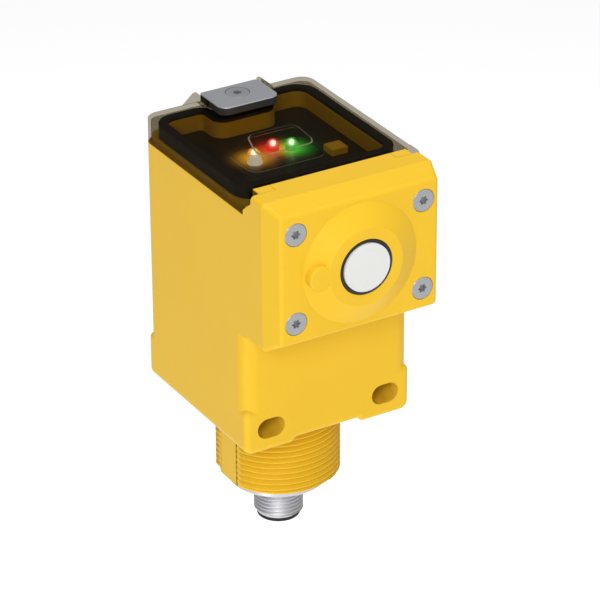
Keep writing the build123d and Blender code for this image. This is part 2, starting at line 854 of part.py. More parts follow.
with BuildPart() as clamp_screw:
    with BuildSketch(Plane.XZ) as screw_profile:
        with BuildLine():
            Polyline(
                (0, clamp_tip_end),
                (clamp_tip_radius - 0.2, clamp_tip_end),
                (clamp_tip_radius, clamp_tip_end + 0.2),
                (clamp_tip_radius, clamp_thread_end - 0.5),
                (clamp_screw_radius, clamp_thread_end),
                (clamp_screw_radius, clamp_top - clamp_head_depth),
                (clamp_head_radius, clamp_top - clamp_head_depth),
                (clamp_head_radius, clamp_top - 0.2),
                (clamp_head_radius - 0.15, clamp_top - fit_gap),
                (0, clamp_top - fit_gap),
                close=True,
            )
        make_face()
    revolve(axis=Axis.Z)
    with BuildSketch(Plane.XY.offset(clamp_top)):
        drive_recess(clamp_recess)
    extrude(amount=-clamp_head_depth * 0.8, mode=Mode.SUBTRACT)
clamp_screw.part.position = (0, clamp_screw_y, 0)
save(clamp_screw, "clamp_screw")

with BuildPart() as clamp_keeper:
    with BuildSketch(Plane.XY.offset(plate_bottom - 0.2)):
        with Locations((0, clamp_screw_y)):
            Circle(keeper_radius)
            Circle(clamp_screw_radius + press_gap, mode=Mode.SUBTRACT)
    extrude(amount=-keeper_thickness)
save(clamp_keeper, "clamp_keeper")

with BuildPart() as clamp_insert:
    with BuildSketch(Plane.XY.offset(rim_height)):
        with Locations((0, clamp_screw_y)):
            Circle(clamp_insert_radius - press_gap)
            Circle(clamp_insert_radius - clamp_insert_wall, mode=Mode.SUBTRACT)
    extrude(amount=-clamp_insert_length + fit_gap)
save(clamp_insert, "clamp_insert")

# Control panel with openings for the indicators and the button
with BuildPart() as control_panel:
    add(extrude(seal_face(-panel_gap, panel_bottom), panel_thickness, mode=Mode.PRIVATE))
    with BuildSketch(Plane.XY.offset(panel_bottom)):
        with Locations(*led_places.values()):
            Circle(led_radius + led_gap)
        with Locations((button_x, button_y)):
            Rectangle(button_width + 2 * button_gap, button_depth + 2 * button_gap)
    extrude(amount=panel_thickness, mode=Mode.SUBTRACT)
save(control_panel, "control_panel")


def lens_solid(inset):
    """The lens, or with an inset the hollow in it: a tapered block under a sloping top."""
    drop = inset
    with BuildPart() as block:
        with BuildSketch(Plane.XY.offset(panel_top)):
            with Locations(((lens_left + lens_right) / 2, (lens_front + lens_back) / 2)):
                RectangleRounded(
                    lens_right - lens_left - 2 * inset,
                    lens_back - lens_front - 2 * inset,
                    lens_base_radius - inset,
                )
        with BuildSketch(Plane.XY.offset(panel_top + lens_height)):
            with Locations(((lens_top_left + lens_top_right) / 2, (lens_top_front + lens_top_back) / 2)):
                RectangleRounded(
                    lens_top_right - lens_top_left - 2 * inset,
                    lens_top_back - lens_top_front - 2 * inset,
                    lens_top_radius - inset,
                )
        loft()
        slope = math.degrees(math.atan2(lens_slope_drop, lens_slope_run))
        top = Plane((0, lens_top_back, panel_top + lens_height - drop), x_dir=(1, 0, 0), z_dir=(0, 0, 1))
        split(bisect_by=top.rotated((slope, 0, 0)), keep=Keep.BOTTOM)
    return block.part


# Clear lens over the indicators
with BuildPart() as status_lens:
    add(lens_solid(0))
    add(lens_solid(lens_wall), mode=Mode.SUBTRACT)
save(status_lens, "status_lens")

# Indicators: three small lamps with leads, and a white lamp post
for name, (x, y) in led_places.items():
    with BuildPart() as led:
        with BuildSketch(Plane.XZ):
            with BuildLine():
                flange_base = panel_bottom - led_flange_height
                dome_base = panel_top + led_height - led_radius
                Polyline(
                    (0, flange_base),
                    (led_flange_radius, flange_base),
                    (led_flange_radius, panel_bottom - fit_gap),
                    (led_radius, panel_bottom - fit_gap),
                    (led_radius, dome_base),
                )
                CenterArc((0, dome_base), led_radius, 0, 90)
                Line((0, dome_base + led_radius), (0, flange_base))
            make_face()
        revolve(axis=Axis.Z)
        with BuildSketch(Plane.XY.offset(board_top)):
            with Locations((-led_lead_half_pitch, 0), (led_lead_half_pitch, 0)):
                Circle(led_lead_radius)
        extrude(amount=panel_bottom - led_flange_height - board_top + 0.1)
    led.part.position = (x, y, 0)
    save(led, name)

with BuildPart() as signal_lamp:
    with Locations((lamp_place[0], lamp_place[1], panel_top + lamp_height / 2)):
        Cone(lamp_base_radius, lamp_top_radius, lamp_height)
save(signal_lamp, "signal_lamp")

# Push button with its flange under the panel, and the switch that it works
with BuildPart() as program_button:
    flange_top = panel_bottom - fit_gap
    with BuildSketch(Plane.XY.offset(flange_top - button_flange_thickness)):
        with Locations((button_x, button_y)):
            Rectangle(button_width + 2 * button_flange, button_depth + 2 * button_flange)
    extrude(amount=button_flange_thickness)
    with BuildSketch(Plane.XY.offset(flange_top)):
        with Locations((button_x, button_y)):
            Rectangle(button_width, button_depth)
    extrude(amount=button_top - flange_top)
    fillet(program_button.faces().sort_by(Axis.Z)[-1].edges(), 0.15)
save(program_button, "program_button")

with BuildPart() as tact_switch:
    with BuildSketch(Plane.XY.offset(board_top)):
        with Locations((button_x, button_y)):
            Rectangle(switch_side, switch_side)
    extrude(amount=switch_height)
    with BuildSketch(Plane.XY.offset(board_top + switch_height)):
        with Locations((button_x, button_y)):
            Circle(plunger_radius + fit_gap)
    extrude(amount=-plunger_bore_depth, mode=Mode.SUBTRACT)
save(tact_switch, "tact_switch")

with BuildPart() as switch_plunger:
    with BuildSketch(Plane.XY.offset(flange_top - button_flange_thickness)):
        with Locations((button_x, button_y)):
            Circle(plunger_radius)
    plunger_end = board_top + switch_height - plunger_bore_depth + button_travel + 0.2
    extrude(amount=plunger_end - (flange_top - button_flange_thickness))
save(switch_plunger, "switch_plunger")

# Indicator board, main board and what they carry
with BuildPart() as indicator_board:
    box_between(
        (-mouth_half_width + board_gap, -mouth_front + post_size + board_gap, board_bottom),
        (mouth_half_width - board_gap, boss_front - board_gap, board_top),
    )
save(indicator_board, "indicator_board")

with BuildPart() as main_board:
    box_between(
        (-mouth_half_width + board_gap, main_board_y, cavity_floor),
        (mouth_half_width - board_gap, main_board_y + board_thickness, main_board_top),
    )
save(main_board, "main_board")

with BuildPart() as board_header:
    header_y = main_board_y + board_thickness
    box_between(
        (-header_length / 2, header_y, header_bottom),
        (header_length / 2, header_y + header_depth, board_bottom),
    )
save(board_header, "board_header")

with BuildPart() as wire_header:
    box_between(
        (-wire_header_half_width, wire_header_front, wire_header_bottom),
        (wire_header_half_width, main_board_y, wire_header_bottom + wire_header_height),
    )
save(wire_header, "wire_header")

with BuildPart() as controller_chip:
    box_between(
        (-chip_side / 2, main_board_y - chip_thickness, cavity_floor + chip_lift - chip_side / 2),
        (chip_side / 2, main_board_y, cavity_floor + chip_lift + chip_side / 2),
    )
    fillet(controller_chip.edges().filter_by(Axis.Y), 0.5)
save(controller_chip, "controller_chip")

with BuildPart() as drive_transformer:
    with BuildSketch(front_plane(main_board_y)):
        with Locations((-part_spacing, cavity_floor + transformer_lift)):
            RectangleRounded(transformer_side, transformer_side, 1)
    extrude(amount=transformer_depth)
save(drive_transformer, "drive_transformer")

for name, lift in capacitor_lifts.items():
    with BuildPart() as capacitor:
        with BuildSketch(front_plane(main_board_y)):
            with Locations((part_spacing, cavity_floor + lift)):
                Circle(capacitor_radius)
        extrude(amount=capacitor_length)
        fillet(capacitor.faces().sort_by(Axis.Y)[0].edges(), 0.4)
    save(capacitor, name)

# Connector: flange under the neck, threaded shell, insulating insert, pins and wires
with BuildPart() as connector_flange:
    with BuildSketch(Plane.XY.offset(neck_end)):
        Circle(flange_radius)
    extrude(amount=-flange_thickness)
    chamfer(connector_flange.faces().sort_by(Axis.Z)[0].edges(), 0.4)
    with BuildSketch(Plane.XY.offset(neck_end)):
        Circle(flange_plug_radius)
    extrude(amount=flange_plug_length)
    groove_middle = neck_end + flange_plug_length / 2
    with BuildSketch(Plane.XZ):
        with Locations((flange_plug_radius - flange_groove_depth / 2, groove_middle)):
            Rectangle(flange_groove_depth, flange_groove_width)
    revolve(axis=Axis.Z, mode=Mode.SUBTRACT)
    with BuildSketch(Plane.XY.offset(flange_end)):
        Circle(shell_stem_radius + fit_gap)
    extrude(amount=flange_thickness + flange_plug_length, mode=Mode.SUBTRACT)
save(connector_flange, "connector_flange")

with BuildPart() as flange_o_ring:
    with BuildSketch(Plane.XZ):
        with Locations((flange_plug_radius - flange_seal_section, groove_middle)):
            Circle(flange_seal_section)
    revolve(axis=Axis.Z)
save(flange_o_ring, "flange_o_ring")

with BuildPart() as connector_shell:
    with BuildSketch(Plane.XY.offset(shell_end)):
        Circle(shell_radius)
    extrude(amount=shell_length - shell_relief)
    chamfer(connector_shell.faces().sort_by(Axis.Z)[0].edges(), shell_chamfer)
    with BuildSketch(Plane.XY.offset(flange_end - shell_relief)):
        Circle(shell_relief_radius)
    extrude(amount=shell_relief)
    with BuildSketch(Plane.XY.offset(flange_end)):
        Circle(shell_stem_radius)
    extrude(amount=plug_top - flange_end)
    with BuildSketch(Plane.XY.offset(plug_top)):
        Circle(shell_collar_radius)
    extrude(amount=shell_collar_thickness)
    with BuildSketch(Plane.XY.offset(shell_end)):
        Circle(shell_bore_radius)
    extrude(amount=plug_top + shell_collar_thickness - shell_end, mode=Mode.SUBTRACT)
save(connector_shell, "connector_shell")

pin_places = [(0.0, 0.0)]
for number in range(4):
    angle = math.radians(45 + 90 * number)
    pin_places.append((pin_circle_radius * math.cos(angle), pin_circle_radius * math.sin(angle)))

with BuildPart() as connector_insert:
    with BuildSketch(Plane.XY.offset(insert_end)):
        Circle(insert_rim_radius)
    extrude(amount=insert_rim_height)
    with BuildSketch(Plane.XY.offset(shell_end)):
        Circle(shell_bore_radius - fit_gap)
    extrude(amount=plug_top - shell_end)
    with BuildSketch(Plane.XY.offset(insert_end)):
        Circle(socket_radius)
        with Locations((0, socket_radius)):
            Rectangle(key_width, 2 * key_depth, mode=Mode.SUBTRACT)
    extrude(amount=socket_depth, mode=Mode.SUBTRACT)
    with BuildSketch(Plane.XY.offset(socket_floor)):
        with Locations(*pin_places):
            Circle(pin_radius + press_gap)
    extrude(amount=plug_top - socket_floor, mode=Mode.SUBTRACT)
save(connector_insert, "connector_insert")

for colour, (x, y) in zip(wire_names, pin_places):
    with BuildPart() as connector_pin:
        with BuildSketch(Plane.XY.offset(insert_end + pin_recess)):
            with Locations((x, y)):
                Circle(pin_radius)
        extrude(amount=pin_back - insert_end - pin_recess)
        chamfer(connector_pin.faces().sort_by(Axis.Z)[0].edges(), 0.2)
    save(connector_pin, f"connector_pin_{colour}")

    with BuildPart() as lead_wire:
        with BuildSketch(Plane.XY.offset(pin_back)):
            with Locations((x, y)):
                Circle(wire_radius)
        extrude(amount=wire_header_bottom - pin_back)
    save(lead_wire, f"lead_wire_{colour}")
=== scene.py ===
import math
from contextlib import contextmanager

import bpy
from mathutils import Matrix, Vector


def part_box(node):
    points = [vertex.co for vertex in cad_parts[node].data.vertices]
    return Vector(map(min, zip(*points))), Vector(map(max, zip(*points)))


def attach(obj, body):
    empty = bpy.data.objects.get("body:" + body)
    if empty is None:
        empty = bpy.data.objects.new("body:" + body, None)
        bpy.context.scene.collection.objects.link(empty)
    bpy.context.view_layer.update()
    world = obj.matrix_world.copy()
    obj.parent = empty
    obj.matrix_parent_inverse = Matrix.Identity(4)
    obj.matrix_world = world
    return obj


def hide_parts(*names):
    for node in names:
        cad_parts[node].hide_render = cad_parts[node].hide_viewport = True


# An ultrasonic distance sensor: finishes, threads, lens, lamps, floor, light and camera
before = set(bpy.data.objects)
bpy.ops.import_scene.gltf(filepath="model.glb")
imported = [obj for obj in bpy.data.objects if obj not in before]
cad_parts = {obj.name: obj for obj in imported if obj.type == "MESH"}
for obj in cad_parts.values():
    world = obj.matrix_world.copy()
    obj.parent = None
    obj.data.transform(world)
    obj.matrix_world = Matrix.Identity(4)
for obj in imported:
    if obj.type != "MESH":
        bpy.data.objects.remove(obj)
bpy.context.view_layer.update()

MM = 0.001

# Small distances
MARGIN = 0.1  # millimetres, short of a face or past it
NEAR = 0.01  # millimetres, counted as the same place
DOUBLES = 1e-6  # metres, within which vertices are merged

# Thread of the neck, in millimetres: radii and flats from its axis, pitch, heights and bare ends
NECK_CREST = 15.0
NECK_ROOT = 14.1
NECK_CORE = 13.2
NECK_FLAT = 13.6
NECK_PITCH = 1.5
NECK_TOP = 1.1
NECK_END = -20.45
NECK_BARE_TOP = 0.2
NECK_BARE_END = 0.6
NECK_STEPS = 192  # for each turn

# Thread of the connector's shell, measured in the same way
SHELL_CREST = 6.0
SHELL_ROOT = 5.58
SHELL_CORE = SHELL_ROOT - MARGIN
SHELL_PITCH = 1.0
SHELL_TOP = -22.7
SHELL_END = -32.5
SHELL_BARE_END = 0.55
SHELL_STEPS = 96  # for each turn

# Form of a thread's ridge, with distances in millimetres
RIDGE_DEPTH = 1.22  # before its crest is rounded, as a share of the real depth
CREST_ROUNDING = 0.2  # as a share of the pitch
CREST_SEGMENTS = 4
SPARE_TURNS = 2
FLAT_STEP = 0.02  # from the root's flat in to the thread's
BURIED_BAND = 0.05  # below the root, past which the ridge counts as buried
BURIED_STEP = 0.6  # from the thread's flat in to the buried part's

# Lens, post and lamps on the panel, in millimetres
PANEL_TOP = 63.1
LENS_ROUNDING = 0.19
POST_PLACE = (-7.0, -2.75)
POST_BASE = 1.85
POST_TOP = 1.25
POST_HEIGHT = 1.6
POST_ROUNDING = 0.15
LED_PLACES = {"amber": (-6.1, -0.6), "red": (0.2, 1.5), "green": (4.1, -0.3)}
# Painted glow of the lamps on the panel: its height over the panel and its reach
PAINTED_GLOW_HEIGHT = 0.8  # over the panel
PAINTED_GLOW_REACH = 3.3
BRIGHT_SPOT = (-0.5, -0.9, 2.0)  # from the middle of a lamp's foot
BRIGHT_REACH = 1.15
CORE_RADIUS = 0.62
CORE_HEIGHT = 1.6
CORE_FORWARD = 0.1
CORE_STRETCH = 1.15  # as a share of its height

# The clamp plate is painted pale, as light, from this height up, and painted dark, as shade, below it, in
# millimetres
PAINTED_LIGHT_BAND = 0.22
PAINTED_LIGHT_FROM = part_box("clamp_plate")[1][2] / MM - PAINTED_LIGHT_BAND

# Linear colours of the finishes
YELLOW = (0.655, 0.402, 0.022)
BLACK = (0.012, 0.012, 0.013)
RUBBER = (0.022, 0.022, 0.023)
POST_WHITE = (0.8, 0.78, 0.74)
LED_COLOURS = {"amber": (1.0, 0.5, 0.03), "red": (1.0, 0.02, 0.02), "green": (0.05, 0.75, 0.06)}
FLOOR_DARK = (0.97, 0.97, 0.97, 1.0)
FLOOR_PALE = (0.99, 0.99, 0.99, 1.0)
DARKNESS = (0.0, 0.0, 0.0, 1.0)
WHITE = (1.0, 1.0, 1.0, 1.0)

# Settings that several finishes share
NOISE_MIDDLE = 0.5
FINE_GRAIN = 5200  # cycles for each metre
TOOL_MARKS = 2600  # cycles for each metre
MARK_DEPTH = 0.004  # millimetres
PLATED_METALLIC = 0.4
DRAWN_OUT_ALONG_Z = (1.0, 1.0, 0.1)
PLASTIC_INDEX = 1.5

# Floor, light and camera, in metres
FLOOR_SIZE = 8.0
FLOOR_HEIGHT = -0.3
LIGHT_TARGET = (0.0, 0.0, 0.03)
GLINT_TARGET = (0.0, 0.0, 0.05)
WORLD_STRENGTH = 0.42
AZIMUTH = math.radians(-30.60)
ELEVATION = math.radians(27.94)
ROLL = math.radians(-0.30)
FOCAL_SHARE = 3355 / 600  # focal length as a share of the picture's width
SENSOR_WIDTH = 36.0  # millimetres
CAMERA_PLACE = (-0.35077, -0.60391, 0.39479)
CAMERA_CLIP_END = 50.0


class Value:
    """A shader socket that takes part in sums, with a Math node for each operator."""

    def __init__(self, finish, socket):
        self.finish = finish
        self.socket = socket

    def _math(self, operation, *values):
        return self.finish.node("ShaderNodeMath", {"operation": operation}, dict(enumerate(values)))[0]

    def __add__(self, other):
        return self._math("ADD", self, other)

    __radd__ = __add__

    def __sub__(self, other):
        return self._math("SUBTRACT", self, other)

    def __rsub__(self, other):
        return self._math("SUBTRACT", other, self)

    def __mul__(self, other):
        return self._math("MULTIPLY", self, other)

    __rmul__ = __mul__

    def __truediv__(self, other):
        return self._math("DIVIDE", self, other)

    def __rtruediv__(self, other):
        return self._math("DIVIDE", other, self)

    def above(self, other):
        return self._math("GREATER_THAN", self, other)

    def exp(self):
        return self._math("EXPONENT", self)

    def clamped(self):
        return self.finish.node("ShaderNodeClamp", {}, {0: self, 1: 0.0, 2: 1.0})[0]


class Finish:
    """A material built from nodes, with the surface's own settings on its shader's sockets."""

    def __init__(self, name, **constants):
        self.material = bpy.data.materials.new(name)
        self.material.use_nodes = True
        self.tree = self.material.node_tree
        self.shader = self.tree.nodes["Principled BSDF"]
        for key, value in constants.items():
            self.shader.inputs[key.replace("_", " ")].default_value = value
        self.place = self.node("ShaderNodeTexCoord", {}, {})[3]

    def node(self, kind, settings, inputs):
        """Adds a node: its settings first, then the values or links of its sockets."""
        new = self.tree.nodes.new(kind)
        for key, value in settings.items():
            setattr(new, key, value)
        for key, value in inputs.items():
            self.feed(new.inputs[key], value)
        return [Value(self, socket) for socket in new.outputs]

    def feed(self, socket, value):
        if isinstance(value, Value):
            self.tree.links.new(value.socket, socket)
        else:
            socket.default_value = value

    def set(self, name, value):
        self.feed(self.shader.inputs[name], value)

    def noise(self, scale, detail=2.0, roughness=0.5, place=None):
        """Noise between about 0 and 1, with scale in cycles for each metre."""
        inputs = {"Vector": place or self.place, "Scale": scale, "Detail": detail, "Roughness": roughness}
        return self.node("ShaderNodeTexNoise", {}, inputs)[0]

    def mix(self, factor, first, second):
        """A colour between two colours."""
        inputs = {0: factor, 6: first, 7: second}
        return self.node("ShaderNodeMix", {"data_type": "RGBA"}, inputs)[2]

    def coordinates(self):
        return self.node("ShaderNodeSeparateXYZ", {}, {0: self.place})

    def bump(self, height, depth):
        """Relief from a value between 0 and 1, with its depth in millimetres."""
        inputs = {"Height": height, "Distance": depth * MM, "Strength": 1.0}
        self.set("Normal", self.node("ShaderNodeBump", {}, inputs)[0])

    def near(self, point, reach, fall=1.0):
        """1 at a point and less away from it, with the point and the reach in millimetres."""
        inputs = {0: self.place, 1: tuple(c * MM for c in point)}
        away = self.node("ShaderNodeVectorMath", {"operation": "DISTANCE"}, inputs)[1] / (reach * MM)
        return (away * away * -fall).exp()


def shade(colour, factor):
    """A colour made darker or paler, with the fourth number that a socket takes."""
    return tuple(c * factor for c in colour) + (1.0,)


def nearly_white(colour):
    """A colour washed out by bright light."""
    return tuple(0.78 + 0.22 * c for c in colour) + (1.0,)


def moulded(name, colour, roughness, grain=0.006):
    """Moulded plastic: a fine spark-eroded grain, with slow drifts of tone and gloss."""
    finish = Finish(name, Specular_IOR_Level=0.09)
    drift = finish.noise(70, detail=3.0)
    fine = finish.noise(FINE_GRAIN, detail=3.0, roughness=0.6)
    finish.set("Base Color", finish.mix(drift, shade(colour, 0.965), shade(colour, 1.035)))
    finish.set("Roughness", roughness + (drift - NOISE_MIDDLE) * 0.08 + (fine - NOISE_MIDDLE) * 0.06)
    finish.bump(fine, grain)
    return finish.material


def metal(name, colour, roughness, stretch=(1.0, 1.0, 1.0), metallic=1.0):
    """Metal with fine tool marks, drawn out along the axes where stretch is small."""
    finish = Finish(name, Metallic=metallic)
    place = finish.node("ShaderNodeMapping", {}, {0: finish.place, 3: stretch})[0]
    marks = finish.noise(TOOL_MARKS, detail=4.0, roughness=0.65, place=place)
    drift = finish.noise(160)
    finish.set("Base Color", finish.mix(drift, shade(colour, 0.93), shade(colour, 1.05)))
    finish.set("Roughness", roughness + (marks - NOISE_MIDDLE) * 0.14 + (drift - NOISE_MIDDLE) * 0.08)
    finish.bump(marks, MARK_DEPTH)
    return finish.material


def plate_with_painted_light(name, painted_light_colour, painted_shade_colour, roughness):
    """Metal plate with painted light, a pale face on top, and painted shade, dark edges below it."""
    finish = Finish(name, Metallic=PLATED_METALLIC)
    # painted light above this height, painted shade below it
    face = (finish.coordinates()[2] / MM).above(PAINTED_LIGHT_FROM)
    drift = finish.noise(160)
    marks = finish.noise(TOOL_MARKS, detail=4.0, roughness=0.65)
    pale = finish.mix(drift, shade(painted_light_colour, 0.95), shade(painted_light_colour, 1.04))
    finish.set("Base Color", finish.mix(face, shade(painted_shade_colour, 1.0), pale))
    finish.set("Roughness", roughness + (marks - NOISE_MIDDLE) * 0.14)
    finish.bump(marks, MARK_DEPTH)
    return finish.material


def rubber(name, colour):
    """Soft moulded rubber with a faint bloom."""
    finish = Finish(name, Specular_IOR_Level=0.35)
    bloom = finish.noise(240, detail=4.0)
    finish.set("Base Color", finish.mix(bloom, shade(colour, 0.8), shade(colour, 1.35)))
    finish.set("Roughness", 0.55 + (bloom - NOISE_MIDDLE) * 0.2)
    finish.bump(finish.noise(6500), 0.008)
    return finish.material


def see_through(name, tint, gloss, reflection):
    """See-through plastic: it tints what lies behind, and its outer faces mirror more at low angles."""
    finish = Finish(name, Roughness=0.05, IOR=PLASTIC_INDEX)
    finish.set("Base Color", finish.mix(finish.noise(90), shade(gloss, 0.9), shade(gloss, 1.1)))
    clear = finish.node("ShaderNodeBsdfTransparent", {}, {"Color": shade(tint, 1.0)})[0]
    rim = finish.node("ShaderNodeFresnel", {}, {"IOR": PLASTIC_INDEX})[0]
    leaving = finish.node("ShaderNodeNewGeometry", {}, {})[6]
    mirror = (rim * (1.0 - leaving) * reflection).clamped()
    glossy = Value(finish, finish.shader.outputs[0])
    blend = finish.node("ShaderNodeMixShader", {}, {0: mirror, 1: clear, 2: glossy})[0]
    finish.feed(finish.tree.nodes["Material Output"].inputs["Surface"], blend)
    return finish.material


def painted_glow_panel():
    """Black panel with the glow of the three lamps near their feet painted on it as emission, fading away
    from each lamp.
    """
    finish = Finish("painted_glow_panel", Emission_Strength=2.2)
    drift = finish.noise(110, detail=3.0)
    finish.set("Base Color", finish.mix(drift, shade(BLACK, 0.85), shade(BLACK, 1.3)))
    finish.set("Roughness", 0.38 + (drift - NOISE_MIDDLE) * 0.1)
    finish.bump(finish.noise(FINE_GRAIN, detail=3.0), 0.006)
    painted_glow = (0.0, 0.0, 0.0)
    # painted glow: emission in each lamp's colour, fading with the distance from the lamp
    for lamp, (x, y) in LED_PLACES.items():
        near = finish.near((x, y, PANEL_TOP + PAINTED_GLOW_HEIGHT), PAINTED_GLOW_REACH)
        colour = finish.mix(near, DARKNESS, shade(LED_COLOURS[lamp], 1.0))
        painted_glow = finish.node("ShaderNodeVectorMath", {"operation": "ADD"}, {0: painted_glow, 1: colour})[0]
    finish.set("Emission Color", painted_glow)
    return finish.material


def lamp_glass(lamp):
    """Tinted epoxy of a small lamp, lit from inside, with its bright spot towards the front left."""
    colour = LED_COLOURS[lamp]
    finish = Finish(f"lamp_{lamp}", Roughness=0.12, Emission_Strength=3.6)
    x, y = LED_PLACES[lamp]
    spot = (x + BRIGHT_SPOT[0], y + BRIGHT_SPOT[1], PANEL_TOP + BRIGHT_SPOT[2])
    near = finish.near(spot, BRIGHT_REACH, fall=2.4)
    finish.set("Base Color", finish.mix(near, shade(colour, 0.5), shade(colour, 0.8)))
    finish.set("Emission Color", finish.mix(near, shade(colour, 0.36), nearly_white(colour)))
    finish.set("Alpha", 0.62 + near * 0.3)
    return finish.material


def glowing(name, dark, pale, roughness, strength):
    """A surface that gives light of its own, between two close tones: a lamp's core, or painted light on
    the post in front of the amber lamp.
    """
    finish = Finish(name, Roughness=roughness, Emission_Strength=strength)
    tone = finish.mix(finish.noise(900), dark, pale)
    finish.set("Base Color", tone)
    finish.set("Emission Color", tone)
    return finish.material


def circuit_board():
    """Green solder mask with faint tracks under it."""
    finish = Finish("circuit_board")
    tracks = finish.noise(700, detail=1.0).above(0.58)
    finish.set("Base Color", finish.mix(tracks, (0.012, 0.09, 0.03, 1), (0.03, 0.17, 0.06, 1)))
    finish.set("Roughness", 0.35 + tracks * 0.08)
    finish.bump(tracks, 0.01)
    return finish.material


def floor_paint():
    """Pale floor with a little light of its own, so that it shows nearly white."""
    finish = Finish("floor_paint", Roughness=0.9, Specular_IOR_Level=0.1, Emission_Strength=0.3)
    tone = finish.mix(finish.noise(3), FLOOR_DARK, FLOOR_PALE)
    finish.set("Base Color", tone)
    finish.set("Emission Color", tone)
    return finish.material


def deselect():
    bpy.ops.object.select_all(action="DESELECT")


def only(piece):
    deselect()
    piece.select_set(True)
    bpy.context.view_layer.objects.active = piece


@contextmanager
def editing(piece):
    """Edit mode on one piece, with its whole mesh selected."""
    only(piece)
    bpy.ops.object.mode_set(mode="EDIT")
    bpy.ops.mesh.select_all(action="SELECT")
    yield
    bpy.ops.object.mode_set(mode="OBJECT")


def finish_piece(piece, name, material, body, smooth):
    """Names a piece, puts its place in its mesh, smooths it, and lets it ride on its body.

    Faces that meet at less than the angle smooth, in degrees, shade as one surface.
    """
    piece.name = name
    piece.data.name = name
    only(piece)
    bpy.ops.object.transform_apply(location=True, rotation=True, scale=True)
    bpy.ops.object.shade_smooth_by_angle(angle=math.radians(smooth))
    piece.data.materials.clear()
    piece.data.materials.append(material)
    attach(piece, body)


def apply_modifiers(piece):
    only(piece)
    for modifier in list(piece.modifiers):
        bpy.ops.object.modifier_apply(modifier=modifier.name)


def copy_of(node):
    """A copy of a CAD node, with a mesh of its own."""
    piece = bpy.data.objects[node].copy()
    piece.data = piece.data.copy()
    bpy.context.collection.objects.link(piece)
    return piece


def cut_away(piece, point, normal):
    """Cuts off what lies beyond a plane, and closes the cut."""
    with editing(piece):
        bpy.ops.mesh.bisect(plane_co=point, plane_no=normal, clear_outer=True, use_fill=True)


def draw_in(vertex, radius):
    """Moves a vertex towards the axis of the neck, until it lies at a radius in metres."""
    share = radius / math.hypot(vertex.co.x, vertex.co.y)
    vertex.co.x *= share
    vertex.co.y *= share


def section(root, crest, pitch, start):
    """Section of a thread's ridge: a diamond beside the axis, with its outer corner rounded."""
    deselect()
    middle = (root * MM, 0, start * MM)
    bpy.ops.mesh.primitive_circle_add(
        vertices=4,
        radius=pitch / 2 * MM,
        fill_type="NOTHING",
        location=middle,
        rotation=(math.pi / 2, 0, 0),
    )
    piece = bpy.context.object
    bpy.ops.object.transform_apply(location=False, rotation=True, scale=True)
    depth = (crest - root) / (pitch / 2) * RIDGE_DEPTH
    with editing(piece):
        bpy.ops.transform.resize(value=(depth, 1, 1), center_override=middle)
        bpy.ops.mesh.select_all(action="DESELECT")
    outermost = max(piece.data.vertices, key=lambda v: v.co.x)
    outermost.select = True
    bpy.ops.object.mode_set(mode="EDIT")
    bpy.ops.mesh.bevel(offset=pitch * CREST_ROUNDING * MM, affect="VERTICES", segments=CREST_SEGMENTS)
    bpy.ops.object.mode_set(mode="OBJECT")
    bpy.ops.object.transform_apply(location=True)
    return piece


def thread(name, root, crest, pitch, top, end, flat, steps, material, body):
    """A screw thread, with a flat on each side unless flat is None."""
    piece = section(root, crest, pitch, end - pitch)
    screw = piece.modifiers.new("thread", "SCREW")
    screw.axis = "Z"
    screw.steps = steps
    screw.render_steps = steps
    screw.iterations = math.ceil((top - end) / pitch) + SPARE_TURNS
    screw.screw_offset = pitch * MM
    screw.use_merge_vertices = False
    apply_modifiers(piece)
    for vertex in piece.data.vertices:
        radius = math.hypot(vertex.co.x, vertex.co.y)
        if radius > crest * MM:
            draw_in(vertex, crest * MM)
        if flat:
            buried = radius <= (root - BURIED_BAND) * MM
            reach = (flat - BURIED_STEP if buried else flat) * MM
            vertex.co.x = max(-reach, min(reach, vertex.co.x))
    cut_away(piece, (0, 0, top * MM), (0, 0, 1))
    cut_away(piece, (0, 0, end * MM), (0, 0, -1))
    with editing(piece):
        bpy.ops.mesh.remove_doubles(threshold=DOUBLES)
        bpy.ops.mesh.normals_make_consistent(inside=False)
    finish_piece(piece, name, material, body, smooth=24)
    return piece


def turned_down(node, name, low, high, core, crest, material, body):
    """A copy of a node whose round outside, between two heights, is turned down under its thread."""
    piece = copy_of(node)
    piece.name = name
    piece.data.name = name
    for vertex in piece.data.vertices:
        radius = math.hypot(vertex.co.x, vertex.co.y)
        if low * MM <= vertex.co.z <= high * MM and core * MM < radius <= (crest + NEAR) * MM:
            draw_in(vertex, core * MM)
    piece.data.materials.clear()
    piece.data.materials.append(material)
    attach(piece, body)
    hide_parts(node)


def neck_root(material):
    """The round root of the neck's thread, with a smooth flat on each side where the thread stops."""
    deselect()
    low = NECK_END
    high = NECK_TOP - MARGIN
    bpy.ops.mesh.primitive_cylinder_add(
        vertices=256,
        radius=NECK_ROOT * MM,
        depth=(high - low) * MM,
        location=(0, 0, (high + low) / 2 * MM),
    )
    piece = bpy.context.object
    bpy.ops.object.transform_apply(location=True)
    cut_away(piece, (NECK_FLAT * MM, 0, 0), (1, 0, 0))
    cut_away(piece, (-NECK_FLAT * MM, 0, 0), (-1, 0, 0))
    finish_piece(piece, "neck_root", material, "base", smooth=10)


def rounded_lens(material, painted_highlight_material):
    """The lens with rounded edges, which carry a painted highlight: a near-white finish that mirrors
    strongly.
    """
    deselect()
    lens = copy_of("status_lens")
    with editing(lens):
        bpy.ops.mesh.remove_doubles(threshold=DOUBLES)
        bpy.ops.mesh.dissolve_limited(angle_limit=math.radians(1))
    finish_piece(lens, "rounded_lens", material, "base", smooth=60)
    lens.data.materials.append(painted_highlight_material)
    rounding = lens.modifiers.new("rounding", "BEVEL")
    rounding.width = LENS_ROUNDING * MM
    rounding.segments = 3
    rounding.limit_method = "ANGLE"
    rounding.angle_limit = math.radians(20)
    rounding.use_clamp_overlap = False
    # the rounding takes the second material, a painted highlight
    rounding.material = 1
    apply_modifiers(lens)
    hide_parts("status_lens")


